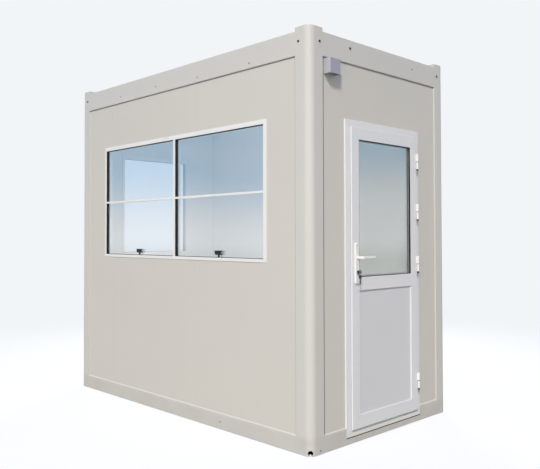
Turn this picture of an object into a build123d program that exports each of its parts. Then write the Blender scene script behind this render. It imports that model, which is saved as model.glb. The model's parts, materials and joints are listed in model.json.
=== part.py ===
# Security guard booth: a bolted steel frame with rounded corner posts, sandwich-panel
# walls, a four-pane front window, a fixed pane in the far end and a part-glazed door.
# Origin at the middle of the footprint on the ground, +X towards the door end,
# -Y towards the front window, +Z up. Millimetres.
from build123d import *
import os

os.makedirs("parts", exist_ok=True)

# Overall size
length = 2800
width = 1500
beam_top = 2600
post_rise = 25

# Formed steel frame
sheet = 3
bend_radius = 5
post_width = 122
post_corner_radius = 50
base_height = 105
base_flange = 60
base_lip = 15
top_beam_height = 155
ceiling_ledge = 85
eaves_width = 45
gutter_drop = 42
gutter_width = 40
gutter_lip = 12
fitting_wall = 4
head_edge_radius = 5
drain_radius = 16
drain_height = 20
drain_slot = 12

# Walls, floor and roof
panel_setback = 10
wall_thickness = 50
panel_width = 1150
first_panel_width = 1055
joint_gap = 0.4
joint_groove_width = 28
joint_groove_depth = 1
floor_top = 100
board_thickness = 20
joist_width = 40
joist_count = 7
ceiling_thickness = 40
roof_sheet_thickness = 1
roof_rib_pitch = 200
roof_rib_height = 20
roof_rib_crest = 40
roof_rib_foot = 70
roof_overhang = 20
fit_gap = 2

# Windows: both share the sill and head heights
window_sill = 1160
window_head = 2090
transom_height = 1619
front_window_width = 2020
far_window_width = 760
window_left_face = 18
window_right_face = 30
window_top_face = 30
window_foot_face = 21
far_window_face = 25
window_proud = 4
window_lap = 12
mullion_centre = -5
mullion_width = 24
transom_width = 15
inner_trim = 6
gasket_thickness = 3
gasket_setback = 3
gasket_depth = 27
glass_recess = 14
glass_thickness = 5

# Window catches
catch_shift = 30
catch_heel = 40
catch_reach = 30
catch_height = 30
catch_depth = 10
catch_proud = 2
catch_chamfer = 10
catch_notch_length = 20
catch_notch_height = 12
catch_stem_width = 10
catch_stem_height = 16

# Door
door_centre = -5
leaf_width = 730
leaf_bottom = 89
leaf_top = 2038
leaf_proud = 15
leaf_rebate = 17
leaf_back_depth = 50
frame_face = 45
sill_bottom = 45
frame_lap = 30
swing_gap = 10
head_gap = 8
sill_gap = 6
flange_gap = 5
stop_lap = 7
door_trim = 10
stile_width = 75
top_rail = 80
mid_rail_bottom = 975
mid_rail_top = 1062
bottom_rail = 86
door_glass_recess = 16
door_panel_recess = 10
door_panel_thickness = 24
seal_width = 6
seal_height = 4.5
bead_width = 10
moulding_radius = 2

# Door furniture
handle_backset = 42
lever_height = 1190
lock_height = 1098
plate_bottom = 1022
plate_top = 1284
outer_plate_width = 36
inner_plate_width = 24
plate_thickness = 12
plate_edge_radius = 3
spindle_size = 8
spindle_bore = 7
lever_reach = 130
lever_stand_off = 44
lever_thickness = 12
lever_depth = 18
lever_bend = 14
lever_gap = 0.3
lever_collar_radius = 11
lever_collar_length = 8
lever_tip_radius = 3
cylinder_radius = 8.5
cylinder_slot = 10
cylinder_drop = 20
cylinder_proud = 3
cylinder_fit = 0.3
keyway_width = 2
keyway_height = 9
keyway_depth = 12

# Hinges
hinge_heights = [296, 1128, 1501, 1861]
hinge_radius = 8
hinge_length = 106
knuckle_gap = 4
pin_radius = 5
pin_fit = 0.05
hinge_leaf_gap = 1
hinge_web = 5
hinge_web_offset = 3

# Cable inlet hood, hung under the top beam beside the front corner post
hood_width = 97
hood_height = 95
hood_depth = 57
hood_wall = 2.5
hood_post_gap = 18
hood_beam_gap = 10

# Places worked out from the sizes above
half_length = length / 2
half_width = width / 2
inner_face = panel_setback + wall_thickness
room_half_length = half_length - inner_face
room_half_width = half_width - inner_face
beam_bottom = beam_top - top_beam_height
board_bottom = floor_top - board_thickness

# A beam's profile is drawn with x towards the inside of the booth and y up, and its
# plane stands at the face of the corner post where the beam starts.
beam_planes = {
    "front": Plane((post_width - half_length, -half_width, 0), x_dir=(0, 1, 0), z_dir=(1, 0, 0)),
    "back": Plane((half_length - post_width, half_width, 0), x_dir=(0, -1, 0), z_dir=(-1, 0, 0)),
    "door_end": Plane((half_length, post_width - half_width, 0), x_dir=(-1, 0, 0), z_dir=(0, 1, 0)),
    "far_end": Plane((-half_length, half_width - post_width, 0), x_dir=(1, 0, 0), z_dir=(0, -1, 0)),
}
beam_runs = {
    "front": length - 2 * post_width,
    "back": length - 2 * post_width,
    "door_end": width - 2 * post_width,
    "far_end": width - 2 * post_width,
}
corners = {
    "front_door": (1, -1),
    "back_door": (1, 1),
    "front_far": (-1, -1),
    "back_far": (-1, 1),
}


def corner_point(signs, along, across):
    """A point measured inwards from the outer corner of the booth."""
    return (signs[0] * (half_length - along), signs[1] * (half_width - across))


def block(x_low, x_high, y_low, y_high, mode=Mode.ADD):
    """A rectangle in the sketch, given by its edges."""
    with Locations(((x_low + x_high) / 2, (y_low + y_high) / 2)):
        Rectangle(x_high - x_low, y_high - y_low, mode=mode)


def outline(plane, areas, holes=()):
    """A sketch of rectangles and the holes in them, each given by its edges."""
    with BuildSketch(plane) as drawn:
        for edges in areas:
            block(*edges)
        for edges in holes:
            block(*edges, mode=Mode.SUBTRACT)
    return drawn.sketch


def inset(edges, amount):
    """The same rectangle, smaller by an amount on every side."""
    x_low, x_high, y_low, y_high = edges
    return (x_low + amount, x_high - amount, y_low + amount, y_high - amount)


# Door frame and leaf edges, seen square on from outside with y to the right
leaf_left = door_centre - leaf_width / 2
leaf_right = door_centre + leaf_width / 2
body_left = leaf_left + leaf_rebate
body_right = leaf_right - leaf_rebate
body_bottom = leaf_bottom + leaf_rebate
body_top = leaf_top - leaf_rebate
rebate_left = body_left - swing_gap
rebate_right = body_right + swing_gap
rebate_bottom = body_bottom - sill_gap
rebate_top = body_top + head_gap
frame_left = leaf_left - frame_face
frame_right = leaf_right + frame_face
frame_top = leaf_top + frame_face
wall_hole_left = frame_left + frame_lap
wall_hole_right = frame_right - frame_lap
wall_hole_top = frame_top - frame_lap
stop_left = body_left + stop_lap
stop_right = body_right - stop_lap
stop_bottom = body_bottom + stop_lap
stop_top = body_top - stop_lap
leaf_face = half_length + leaf_proud
leaf_flange_back = half_length + flange_gap
leaf_back = half_length - leaf_back_depth

# Base beams: cold-formed channels, open towards the inside, with the door end one cut
# down so that the door frame stands in it
base_profile = [
    (base_flange, base_lip),
    (base_flange, 0),
    (0, 0),
    (0, base_height),
    (base_flange, base_height),
    (base_flange, base_height - base_lip),
]
for side, plane in beam_planes.items():
    with BuildPart() as base_beam:
        with BuildSketch(plane):
            with BuildLine():
                FilletPolyline(*base_profile, radius=bend_radius)
                offset(amount=sheet, side=Side.RIGHT)
            make_face()
        extrude(amount=beam_runs[side])
        if side == "door_end":
            with BuildSketch(Plane.YZ.offset(half_length)):
                block(frame_left, frame_right, sill_bottom, base_height)
            extrude(amount=-base_flange, mode=Mode.SUBTRACT)
    base_beam.part.label = f"base_beam_{side}"
    export_step(base_beam.part, f"parts/base_beam_{side}.step")

# Top beams: one formed sheet makes the ceiling ledge, the fascia, the eaves and a rain
# gutter with an upturned lip
top_profile = [
    (ceiling_ledge, beam_bottom),
    (0, beam_bottom),
    (0, beam_top),
    (eaves_width, beam_top),
    (eaves_width, beam_top - gutter_drop),
    (eaves_width + gutter_width, beam_top - gutter_drop),
    (eaves_width + gutter_width, beam_top - gutter_drop + gutter_lip),
]
for side, plane in beam_planes.items():
    with BuildPart() as top_beam:
        with BuildSketch(plane):
            with BuildLine():
                FilletPolyline(*top_profile, radius=bend_radius)
                offset(amount=sheet, side=Side.RIGHT)
            make_face()
        extrude(amount=beam_runs[side])
    top_beam.part.label = f"top_beam_{side}"
    export_step(top_beam.part, f"parts/top_beam_{side}.step")

# Corner posts: a closed formed section, rounded outside, that wraps the panel edges
post_outline = [
    (0, 0),
    (post_width, 0),
    (post_width, panel_setback),
    (inner_face, panel_setback),
    (inner_face, inner_face),
    (panel_setback, inner_face),
    (panel_setback, post_width),
    (0, post_width),
]
for corner, signs in corners.items():
    outer_corner = corner_point(signs, 0, 0)
    with BuildPart() as post:
        with BuildSketch(Plane.XY.offset(board_bottom)) as post_section:
            with BuildLine():
                Polyline(*[corner_point(signs, along, across) for along, across in post_outline], close=True)
            make_face()
            fillet(post_section.vertices().sort_by_distance(outer_corner)[0], post_corner_radius)
            offset(amount=-sheet, kind=Kind.INTERSECTION, mode=Mode.SUBTRACT)
        extrude(amount=beam_bottom - board_bottom)
    post.part.label = f"corner_post_{corner}"
    export_step(post.part, f"parts/corner_post_{corner}.step")

# Corner heads close the posts above the walls, and the top beams butt against them
head_height = top_beam_height + post_rise
with BuildPart() as corner_heads:
    with BuildSketch(Plane.XY.offset(beam_bottom)) as head_outline:
        for signs in corners.values():
            with Locations(corner_point(signs, post_width / 2, post_width / 2)):
                Rectangle(post_width, post_width)
        for signs in corners.values():
            fillet(head_outline.vertices().sort_by_distance(corner_point(signs, 0, 0))[0], post_corner_radius)
    extrude(amount=head_height)
    fillet(corner_heads.faces().sort_by(Axis.Z)[-4:].edges(), head_edge_radius)
    with BuildSketch(Plane.XY.offset(beam_bottom)):
        add(head_outline.sketch)
        offset(amount=-fitting_wall)
    extrude(amount=head_height - fitting_wall, mode=Mode.SUBTRACT)
corner_heads.part.label = "corner_heads"
export_step(corner_heads.part, "parts/corner_heads.step")

# Corner feet: open boxes with a base plate, each with a keyhole drain in its rounded corner
with BuildPart() as corner_feet:
    with BuildSketch() as foot_outline:
        for signs in corners.values():
            with Locations(corner_point(signs, post_width / 2, post_width / 2)):
                Rectangle(post_width, post_width)
        for signs in corners.values():
            fillet(foot_outline.vertices().sort_by_distance(corner_point(signs, 0, 0))[0], post_corner_radius)
    extrude(amount=board_bottom)
    with BuildSketch(Plane.XY.offset(fitting_wall)):
        add(foot_outline.sketch)
        offset(amount=-fitting_wall)
    extrude(amount=board_bottom - fitting_wall, mode=Mode.SUBTRACT)
    for signs in corners.values():
        drain_axis = corner_point(signs, post_corner_radius, post_corner_radius)
        with BuildSketch(Plane(drain_axis, x_dir=(-signs[1], signs[0], 0), z_dir=(signs[0], signs[1], 0))):
            with Locations((0, drain_height)):
                Circle(drain_radius)
            block(-drain_slot / 2, drain_slot / 2, 0, drain_height)
        extrude(amount=post_corner_radius * 2, mode=Mode.SUBTRACT)
corner_feet.part.label = "corner_feet"
export_step(corner_feet.part, "parts/corner_feet.step")

# Floor joists: channels on the ground between the long base beams, one of them in the middle
joist_half_run = half_width - base_flange
joist_spacing = (length - 2 * post_width - joist_width) / (joist_count - 1)
joist_profile = [(joist_width, 0), (0, 0), (0, board_bottom), (joist_width, board_bottom)]
with BuildPart() as floor_joists:
    for number in range(joist_count):
        joist_start = post_width - half_length + number * joist_spacing
        with BuildSketch(Plane((joist_start, joist_half_run, 0), x_dir=(1, 0, 0), z_dir=(0, -1, 0))):
            with BuildLine():
                FilletPolyline(*joist_profile, radius=bend_radius)
                offset(amount=sheet, side=Side.RIGHT)
            make_face()
        extrude(amount=2 * joist_half_run)
floor_joists.part.label = "floor_joists"
export_step(floor_joists.part, "parts/floor_joists.step")

# Floor board, on the joists between the base beams, with its corners kept clear of the posts
with BuildPart() as floor_board:
    with BuildSketch(Plane.XY.offset(board_bottom)):
        Rectangle(length - 2 * base_flange, width - 2 * base_flange)
        for signs in corners.values():
            with Locations(corner_point(signs, inner_face / 2, inner_face / 2)):
                Rectangle(inner_face, inner_face, mode=Mode.SUBTRACT)
    extrude(amount=board_thickness)
floor_board.part.label = "floor_board"
export_step(floor_board.part, "parts/floor_board.step")

# Ceiling panel, laid on the ledges of the top beams and cut out round the corner heads
ceiling_edge = inner_face + fit_gap
corner_cut = post_width + fit_gap
with BuildPart() as ceiling_panel:
    with BuildSketch(Plane.XY.offset(beam_bottom + sheet)):
        Rectangle(length - 2 * ceiling_edge, width - 2 * ceiling_edge)
        for signs in corners.values():
            with Locations(corner_point(signs, corner_cut / 2, corner_cut / 2)):
                Rectangle(corner_cut, corner_cut, mode=Mode.SUBTRACT)
    extrude(amount=ceiling_thickness)
ceiling_panel.part.label = "ceiling_panel"
export_step(ceiling_panel.part, "parts/ceiling_panel.step")

# Roof sheet: trapezoidal ribs run across the booth and drain into the gutters
roof_edge = eaves_width + gutter_width - roof_overhang
roof_base = beam_top - gutter_drop + gutter_lip
rib_count = int((length - 2 * corner_cut) // roof_rib_pitch)
rib_slope = (roof_rib_foot - roof_rib_crest) / 2
roof_points = [(roof_edge - half_length, 0)]
for number in range(rib_count):
    rib_centre = (number - (rib_count - 1) / 2) * roof_rib_pitch
    roof_points += [
        (rib_centre - roof_rib_foot / 2, 0),
        (rib_centre - roof_rib_foot / 2 + rib_slope, roof_rib_height),
        (rib_centre + roof_rib_foot / 2 - rib_slope, roof_rib_height),
        (rib_centre + roof_rib_foot / 2, 0),
    ]
roof_points.append((half_length - roof_edge, 0))
with BuildPart() as roof_sheet:
    with BuildSketch(Plane.XZ.offset(half_width - roof_edge)):
        with BuildLine():
            Polyline(*[(x, roof_base + z) for x, z in roof_points])
            offset(amount=roof_sheet_thickness, side=Side.LEFT)
        make_face()
    extrude(amount=2 * roof_edge - width)
    with BuildSketch(Plane.XY.offset(roof_base)):
        for signs in corners.values():
            with Locations(corner_point(signs, corner_cut / 2, corner_cut / 2)):
                Rectangle(corner_cut, corner_cut)
    extrude(amount=roof_rib_height * 2, mode=Mode.SUBTRACT)
roof_sheet.part.label = "roof_sheet"
export_step(roof_sheet.part, "parts/roof_sheet.step")

# Walls: sandwich panels that stand on the base beams, set back behind the frame. The long
# walls have panels side by side, counted from the door end, with a shallow groove over each
# joint on both faces; the window interrupts them.
wall_face_end = half_length - panel_setback
wall_face_side = half_width - panel_setback
front_flange = (-front_window_width / 2, front_window_width / 2, window_sill, window_head)
far_flange = (-far_window_width / 2, far_window_width / 2, window_sill, window_head)
joint_count = int((2 * room_half_length - first_panel_width) // panel_width) + 1
panel_joints = [room_half_length - first_panel_width - number * panel_width for number in range(joint_count)]


def joint_strips(strip_width):
    """Upright strips over the joints of a long wall, seen square on."""
    return [(x - strip_width / 2, x + strip_width / 2, base_height, beam_bottom) for x in panel_joints]


for wall, inwards, holes in (
    ("front_wall", 1, [inset(front_flange, window_lap)]),
    ("back_wall", -1, []),
):
    outer_plane = Plane.XZ.offset(inwards * wall_face_side)
    inner_plane = outer_plane.offset(-inwards * wall_thickness)
    wall_edges = (-room_half_length, room_half_length, base_height, beam_bottom)
    with BuildPart() as long_wall:
        extrude(
            outline(outer_plane, [wall_edges], holes + joint_strips(joint_gap)),
            amount=-inwards * wall_thickness,
        )
        grooves = joint_strips(joint_groove_width)
        extrude(outline(outer_plane, grooves), amount=-inwards * joint_groove_depth, mode=Mode.SUBTRACT)
        extrude(outline(inner_plane, grooves), amount=inwards * joint_groove_depth, mode=Mode.SUBTRACT)
    long_wall.part.label = wall
    export_step(long_wall.part, f"parts/{wall}.step")

with BuildPart() as far_wall:
    wall_edges = (-room_half_width, room_half_width, base_height, beam_bottom)
    wall_shape = outline(Plane.YZ.offset(-wall_face_end), [wall_edges], [inset(far_flange, window_lap)])
    extrude(wall_shape, amount=wall_thickness)
far_wall.part.label = "far_wall"
export_step(far_wall.part, "parts/far_wall.step")

with BuildPart() as door_wall_left:
    with BuildSketch(Plane.YZ.offset(wall_face_end)):
        block(-room_half_width, wall_hole_left, base_height, wall_hole_top)
    extrude(amount=-wall_thickness)
door_wall_left.part.label = "door_wall_left"
export_step(door_wall_left.part, "parts/door_wall_left.step")

with BuildPart() as door_wall_right:
    with BuildSketch(Plane.YZ.offset(wall_face_end)):
        block(wall_hole_right, room_half_width, base_height, wall_hole_top)
    extrude(amount=-wall_thickness)
door_wall_right.part.label = "door_wall_right"
export_step(door_wall_right.part, "parts/door_wall_right.step")

with BuildPart() as door_wall_over:
    with BuildSketch(Plane.YZ.offset(wall_face_end)):
        block(-room_half_width, room_half_width, wall_hole_top, beam_bottom)
    extrude(amount=-wall_thickness)
door_wall_over.part.label = "door_wall_over"
export_step(door_wall_over.part, "parts/door_wall_over.step")

# Windows: a flanged frame clamps the wall from both sides, and a black gasket lines each bay
# and holds its pane. Each window is drawn square on to its outer face.
bay_bottom = window_sill + window_foot_face
bay_top = window_head - window_top_face
transom_low = transom_height - transom_width / 2
transom_high = transom_height + transom_width / 2
mullion_left = mullion_centre - mullion_width / 2
mullion_right = mullion_centre + mullion_width / 2
bays_left = window_left_face - front_window_width / 2
bays_right = front_window_width / 2 - window_right_face
far_bay_edge = far_window_width / 2 - far_window_face
front_clear = (bays_left, bays_right, bay_bottom, bay_top)
far_clear = (-far_bay_edge, far_bay_edge, bay_bottom, bay_top)
front_upper_bays = [
    (bays_left, mullion_left, transom_high, bay_top),
    (mullion_right, bays_right, transom_high, bay_top),
]
front_lower_bays = [
    (bays_left, mullion_left, bay_bottom, transom_low),
    (mullion_right, bays_right, bay_bottom, transom_low),
]
front_plane = Plane.XZ.offset(half_width - panel_setback + window_proud)
far_plane = Plane(
    (panel_setback - window_proud - half_length, 0, 0), x_dir=(0, -1, 0), z_dir=(-1, 0, 0)
)


def pane_edges(bay):
    """The pane of a bay stands inside the gasket, and meets the transom with no gasket between."""
    left, right, low, high = inset(bay, gasket_thickness)
    if bay[2] == transom_high:
        low = transom_high
    if bay[3] == transom_low:
        high = transom_low
    return (left, right, low, high)


for window, plane, flange_edges, clear_edges, bays in (
    ("front", front_plane, front_flange, front_clear, front_upper_bays + front_lower_bays),
    ("far", far_plane, far_flange, far_clear, [far_clear]),
):
    wall_plane = plane.offset(-window_proud)
    room_plane = wall_plane.offset(-wall_thickness)
    with BuildPart() as window_frame:
        extrude(outline(plane, [flange_edges], bays), amount=-window_proud)
        extrude(outline(wall_plane, [inset(flange_edges, window_lap)], bays), amount=-wall_thickness)
        extrude(outline(room_plane, [flange_edges], [clear_edges]), amount=-inner_trim)
    window_frame.part.label = f"{window}_window_frame"
    export_step(window_frame.part, f"parts/{window}_window_frame.step")

    with BuildPart() as window_gaskets:
        linings = outline(plane.offset(-gasket_setback), bays, [pane_edges(bay) for bay in bays])
        extrude(linings, amount=-gasket_depth)
    window_gaskets.part.label = f"{window}_window_gaskets"
    export_step(window_gaskets.part, f"parts/{window}_window_gaskets.step")

for panes, plane, bays in (
    ("front_window_upper_panes", front_plane, front_upper_bays),
    ("front_window_lower_panes", front_plane, front_lower_bays),
    ("far_window_panes", far_plane, [far_clear]),
):
    with BuildPart() as window_panes:
        glazing = outline(plane.offset(-glass_recess), [pane_edges(bay) for bay in bays])
        extrude(glazing, amount=-glass_thickness)
    window_panes.part.label = panes
    export_step(window_panes.part, f"parts/{panes}.step")

# Catches: a forked lever on a short stem, one at the foot of each lower pane
catch_foot = bay_bottom + gasket_thickness
catch_low = catch_foot + catch_stem_height
catch_middle = catch_low + catch_height / 2
with BuildPart() as window_catches:
    for bay_left, bay_right, _, _ in front_lower_bays:
        centre = (bay_left + bay_right) / 2 + catch_shift
        with BuildSketch(front_plane.offset(catch_proud)) as catch_face:
            block(centre - catch_heel, centre + catch_reach, catch_low, catch_low + catch_height)
            heel_corner = catch_face.vertices().group_by(Axis.X)[0].sort_by(Axis.Y)[0]
            chamfer(heel_corner, catch_chamfer)
            with BuildLine():
                Polyline(
                    (centre + catch_reach, catch_middle - catch_notch_height / 2),
                    (centre + catch_reach - catch_notch_length, catch_middle),
                    (centre + catch_reach, catch_middle + catch_notch_height / 2),
                    close=True,
                )
            make_face(mode=Mode.SUBTRACT)
            fillet(catch_face.vertices(), moulding_radius)
            block(centre - catch_stem_width / 2, centre + catch_stem_width / 2, catch_foot, catch_middle)
        extrude(amount=-catch_depth)
window_catches.part.label = "window_catches"
export_step(window_catches.part, "parts/window_catches.step")

# Door frame: jambs and head with a face flange, a body through the wall, a stop behind the
# leaf and an inner trim
frame_back = half_length - inner_face - door_trim
room_face = half_length - inner_face
stop_face = leaf_back - flange_gap
hole_edges = (wall_hole_left, wall_hole_right, sill_bottom, wall_hole_top)
rebate_edges = (rebate_left, rebate_right, sill_bottom, rebate_top)
stop_edges = (stop_left, stop_right, sill_bottom, stop_top)
trim_edges = (frame_left, frame_right, floor_top, frame_top)
with BuildPart() as door_frame:
    face_edges = (frame_left, frame_right, sill_bottom, frame_top)
    extrude(outline(Plane.YZ.offset(half_length), [face_edges], [rebate_edges]), amount=-panel_setback)
    lit_edges = door_frame.faces().sort_by(Axis.X)[-1].edges()
    jambs = lit_edges.filter_by(Axis.Z).sort_by(Axis.Y)
    head = lit_edges.filter_by(Axis.Y).sort_by(Axis.Z)[-1]
    fillet([jambs[0], jambs[-1], head], moulding_radius)
    rebate_ring = outline(Plane.YZ.offset(stop_face), [hole_edges], [rebate_edges])
    extrude(rebate_ring, amount=wall_face_end - stop_face)
    extrude(outline(Plane.YZ.offset(room_face), [hole_edges], [stop_edges]), amount=stop_face - room_face)
    extrude(outline(Plane.YZ.offset(frame_back), [trim_edges], [stop_edges]), amount=room_face - frame_back)
door_frame.part.label = "door_frame"
export_step(door_frame.part, "parts/door_frame.step")

# Door sill, between the jambs, with an upstand on the floor as its stop
with BuildPart() as door_sill:
    sill_edges = (rebate_left, rebate_right, sill_bottom, rebate_bottom)
    extrude(outline(Plane.YZ.offset(stop_face), [sill_edges]), amount=half_length - stop_face)
    sill_stop_edges = (stop_left, stop_right, sill_bottom, stop_bottom)
    extrude(outline(Plane.YZ.offset(room_face), [sill_stop_edges]), amount=stop_face - room_face)
    upstand_edges = (stop_left, stop_right, floor_top, stop_bottom)
    extrude(outline(Plane.YZ.offset(frame_back), [upstand_edges]), amount=room_face - frame_back)
door_sill.part.label = "door_sill"
export_step(door_sill.part, "parts/door_sill.step")

# Weather seal round the face of the frame, under the lap of the leaf
with BuildPart() as door_seal:
    seal_hole = (rebate_left, rebate_right, rebate_bottom, rebate_top)
    seal_ring = outline(Plane.YZ.offset(half_length), [inset(seal_hole, -seal_width)], [seal_hole])
    extrude(seal_ring, amount=seal_height)
door_seal.part.label = "door_seal"
export_step(door_seal.part, "parts/door_seal.step")

# Door leaf: stiles and rails with a lap all round, a glazed light above and a panel below;
# the back of each opening is narrower, as a bead that holds what is in it
light_left = leaf_left + stile_width
light_right = leaf_right - stile_width
light_edges = (light_left, light_right, mid_rail_top, leaf_top - top_rail)
panel_edges = (light_left, light_right, leaf_bottom + bottom_rail, mid_rail_bottom)
spindle_y = leaf_left + handle_backset
glass_back = leaf_face - door_glass_recess - glass_thickness
panel_back = leaf_face - door_panel_recess - door_panel_thickness


def lock_outline(fit):
    """Profile of the lock cylinder, a round barrel over a narrower body."""
    with Locations((spindle_y, lock_height)):
        Circle(cylinder_radius + fit)
    block(
        spindle_y - cylinder_slot / 2 - fit,
        spindle_y + cylinder_slot / 2 + fit,
        lock_height - cylinder_drop - fit,
        lock_height,
    )


with BuildPart() as door_leaf_frame:
    lap_edges = (leaf_left, leaf_right, leaf_bottom, leaf_top)
    extrude(outline(Plane.YZ.offset(leaf_flange_back), [lap_edges]), amount=leaf_face - leaf_flange_back)
    body_edges = (body_left, body_right, body_bottom, body_top)
    extrude(outline(Plane.YZ.offset(leaf_back), [body_edges]), amount=leaf_flange_back - leaf_back)
    light_rebate = outline(Plane.YZ.offset(glass_back), [light_edges])
    extrude(light_rebate, amount=leaf_face - glass_back, mode=Mode.SUBTRACT)
    panel_rebate = outline(Plane.YZ.offset(panel_back), [panel_edges])
    extrude(panel_rebate, amount=leaf_face - panel_back, mode=Mode.SUBTRACT)
    fillet(door_leaf_frame.faces().sort_by(Axis.X)[-1].edges(), moulding_radius)
    beads = [inset(light_edges, bead_width), inset(panel_edges, bead_width)]
    extrude(outline(Plane.YZ.offset(leaf_back), beads), amount=leaf_face - leaf_back, mode=Mode.SUBTRACT)
    with BuildSketch(Plane.YZ.offset(leaf_face)) as handle_holes:
        with Locations((spindle_y, lever_height)):
            Circle(spindle_bore)
        lock_outline(cylinder_fit)
    extrude(amount=leaf_back - leaf_face, mode=Mode.SUBTRACT)
door_leaf_frame.part.label = "door_leaf_frame"
export_step(door_leaf_frame.part, "parts/door_leaf_frame.step")

with BuildPart() as door_glass_gasket:
    glass_edges = inset(light_edges, gasket_thickness)
    extrude(
        outline(Plane.YZ.offset(glass_back), [light_edges], [glass_edges]),
        amount=leaf_face - moulding_radius - glass_back,
    )
door_glass_gasket.part.label = "door_glass_gasket"
export_step(door_glass_gasket.part, "parts/door_glass_gasket.step")

with BuildPart() as door_glass:
    extrude(outline(Plane.YZ.offset(glass_back), [glass_edges]), amount=glass_thickness)
door_glass.part.label = "door_glass"
export_step(door_glass.part, "parts/door_glass.step")

with BuildPart() as door_lower_panel:
    extrude(outline(Plane.YZ.offset(panel_back), [panel_edges]), amount=door_panel_thickness)
door_lower_panel.part.label = "door_lower_panel"
export_step(door_lower_panel.part, "parts/door_lower_panel.step")

# Handle plates: a wide one outside, a narrow one inside that clears the stop
plate_middle = (plate_bottom + plate_top) / 2
plate_height = plate_top - plate_bottom
with BuildPart() as handle_plates:
    with BuildSketch(Plane.YZ.offset(leaf_face)):
        with Locations((spindle_y, plate_middle)):
            RectangleRounded(outer_plate_width, plate_height, outer_plate_width / 4)
    extrude(amount=plate_thickness)
    fillet(handle_plates.faces().sort_by(Axis.X)[-1].edges(), plate_edge_radius)
    with BuildSketch(Plane.YZ.offset(leaf_back)):
        with Locations((spindle_y, plate_middle)):
            RectangleRounded(inner_plate_width, plate_height, inner_plate_width / 4)
    extrude(amount=-plate_thickness)
    fillet(handle_plates.faces().sort_by(Axis.X)[0].edges(), plate_edge_radius)
    with BuildSketch(Plane.YZ.offset(leaf_face + plate_thickness)):
        add(handle_holes.sketch_local)
    extrude(amount=leaf_back - leaf_face - 2 * plate_thickness, mode=Mode.SUBTRACT)
handle_plates.part.label = "handle_plates"
export_step(handle_plates.part, "parts/handle_plates.step")

# Lock cylinder, right through the leaf and both plates
with BuildPart() as lock_cylinder:
    with BuildSketch(Plane.YZ.offset(leaf_face + plate_thickness + cylinder_proud)):
        lock_outline(0)
    extrude(amount=-(leaf_face - leaf_back + 2 * (plate_thickness + cylinder_proud)))
    with BuildSketch(Plane.YZ.offset(leaf_face + plate_thickness + cylinder_proud)):
        with Locations((spindle_y, lock_height)):
            Rectangle(keyway_width, keyway_height)
    extrude(amount=-keyway_depth, mode=Mode.SUBTRACT)
lock_cylinder.part.label = "lock_cylinder"
export_step(lock_cylinder.part, "parts/lock_cylinder.step")

# Lever pair: one grip each side on a square spindle
outer_lever_face = leaf_face + plate_thickness + lever_gap
inner_lever_face = leaf_back - plate_thickness - lever_gap
with BuildPart() as door_lever:
    for face, outward in ((outer_lever_face, 1), (inner_lever_face, -1)):
        grip_x = face + outward * lever_stand_off
        with BuildLine():
            FilletPolyline(
                (face, spindle_y, lever_height),
                (grip_x, spindle_y, lever_height),
                (grip_x, spindle_y + lever_reach, lever_height),
                radius=lever_bend,
            )
        with BuildSketch(Plane((face, spindle_y, lever_height), x_dir=(0, 1, 0), z_dir=(outward, 0, 0))):
            RectangleRounded(lever_thickness, lever_depth, lever_thickness / 3)
        sweep()
        with BuildSketch(Plane((face, spindle_y, lever_height), x_dir=(0, 1, 0), z_dir=(outward, 0, 0))):
            Circle(lever_collar_radius)
        extrude(amount=lever_collar_length)
    fillet(door_lever.faces().sort_by(Axis.Y)[-2:].edges(), lever_tip_radius)
    with BuildSketch(Plane.YZ.offset(inner_lever_face)):
        with Locations((spindle_y, lever_height)):
            Rectangle(spindle_size, spindle_size)
    extrude(amount=outer_lever_face - inner_lever_face)
door_lever.part.label = "door_lever"
export_step(door_lever.part, "parts/door_lever.step")

# Hinges: lift-off halves, the lower knuckle with its pin on the frame and the upper one
# on the leaf; each stands on a narrow web that its fixing screws go through
hinge_x = leaf_face + hinge_leaf_gap + hinge_radius
hinge_y = leaf_right
knuckle_length = (hinge_length - knuckle_gap) / 2
pin_length = knuckle_length - hinge_radius

with BuildPart() as hinge_frame_halves:
    for middle in hinge_heights:
        with BuildSketch(Plane.XY.offset(middle - hinge_length / 2)):
            with Locations((hinge_x, hinge_y)):
                Circle(hinge_radius)
            web_start = hinge_y + hinge_web_offset
            block(half_length, hinge_x, web_start, web_start + hinge_web)
        extrude(amount=knuckle_length)
        with BuildSketch(Plane.XY.offset(middle - knuckle_gap / 2)):
            with Locations((hinge_x, hinge_y)):
                Circle(pin_radius)
        extrude(amount=knuckle_gap + pin_length)
hinge_frame_halves.part.label = "hinge_frame_halves"
export_step(hinge_frame_halves.part, "parts/hinge_frame_halves.step")

with BuildPart() as hinge_leaf_halves:
    for middle in hinge_heights:
        with BuildSketch(Plane.XY.offset(middle + knuckle_gap / 2)):
            with Locations((hinge_x, hinge_y)):
                Circle(hinge_radius)
            web_end = hinge_y - hinge_web_offset
            block(leaf_face, hinge_x, web_end - hinge_web, web_end)
        extrude(amount=knuckle_length)
        with BuildSketch(Plane.XY.offset(middle + knuckle_gap / 2)):
            with Locations((hinge_x, hinge_y)):
                Circle(pin_radius + pin_fit)
        extrude(amount=pin_length + knuckle_gap, mode=Mode.SUBTRACT)
hinge_leaf_halves.part.label = "hinge_leaf_halves"
export_step(hinge_leaf_halves.part, "parts/hinge_leaf_halves.step")

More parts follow.
